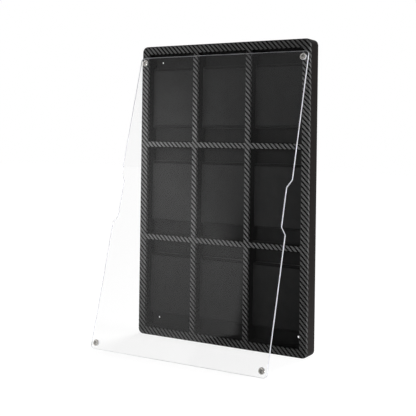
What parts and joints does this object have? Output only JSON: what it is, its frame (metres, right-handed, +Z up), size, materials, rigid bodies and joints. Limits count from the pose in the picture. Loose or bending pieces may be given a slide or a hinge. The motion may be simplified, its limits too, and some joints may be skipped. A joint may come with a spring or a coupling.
{
  "type": "trading card display case",
  "caption": "Shallow case with a grid of padded pockets for graded card slabs, wrapped in a striped black skin, with a clear magnetic cover that leans on its front.",
  "frame": {"origin": "middle of the case's underside, half way through its depth, where it stands", "axes": "+Z up the case, +X to the right as seen from the front, +Y from the front to the back"},
  "size_m": [0.298, 0.1494, 0.463],
  "materials": {
    "board_fibreboard": "matte",
    "painted_fibreboard": "satin",
    "carbon_wrap": "satin, with a slanting stripe",
    "lining_cloth": "matte",
    "pad_cloth": "matte",
    "frame_magnet_nickel": "plated",
    "cover_magnet_nickel": "plated",
    "clear_acrylic": "clear, polished edges"
  },
  "bodies": {
    "case": {"back_board": "board_fibreboard", "rail_left": "painted_fibreboard", "rail_right": "painted_fibreboard", "rail_bottom": "painted_fibreboard", "rail_top": "painted_fibreboard", "divider_upright_left": "painted_fibreboard", "divider_upright_right": "painted_fibreboard", "divider_level_lower": "painted_fibreboard", "divider_level_upper": "painted_fibreboard", "face_wrap": "carbon_wrap", "pocket_lining_r1c1": "lining_cloth", "pocket_lining_r1c2": "lining_cloth", "pocket_lining_r1c3": "lining_cloth", "pocket_lining_r2c1": "lining_cloth", "pocket_lining_r2c2": "lining_cloth", "pocket_lining_r2c3": "lining_cloth", "pocket_lining_r3c1": "lining_cloth", "pocket_lining_r3c2": "lining_cloth", "pocket_lining_r3c3": "lining_cloth", "card_pad_r1c1": "pad_cloth", "card_pad_r1c2": "pad_cloth", "card_pad_r1c3": "pad_cloth", "card_pad_r2c1": "pad_cloth", "card_pad_r2c2": "pad_cloth", "card_pad_r2c3": "pad_cloth", "card_pad_r3c1": "pad_cloth", "card_pad_r3c2": "pad_cloth", "card_pad_r3c3": "pad_cloth", "frame_magnet_top_left": "frame_magnet_nickel", "frame_magnet_top_right": "frame_magnet_nickel", "frame_magnet_bottom_left": "frame_magnet_nickel", "frame_magnet_bottom_right": "frame_magnet_nickel"},
    "cover": {"cover_sheet": "clear_acrylic", "cover_magnet_top_left": "cover_magnet_nickel", "cover_magnet_top_right": "cover_magnet_nickel", "cover_magnet_bottom_left": "cover_magnet_nickel", "cover_magnet_bottom_right": "cover_magnet_nickel"}
  },
  "joints": [
    {"name": "cover_swing", "type": "hinge", "parent": "case", "child": "cover", "pos_m": [0, -0.07962, 0.45352], "axis": [-1, 0, 0], "range_deg": [-15.1, 60]}
  ]
}
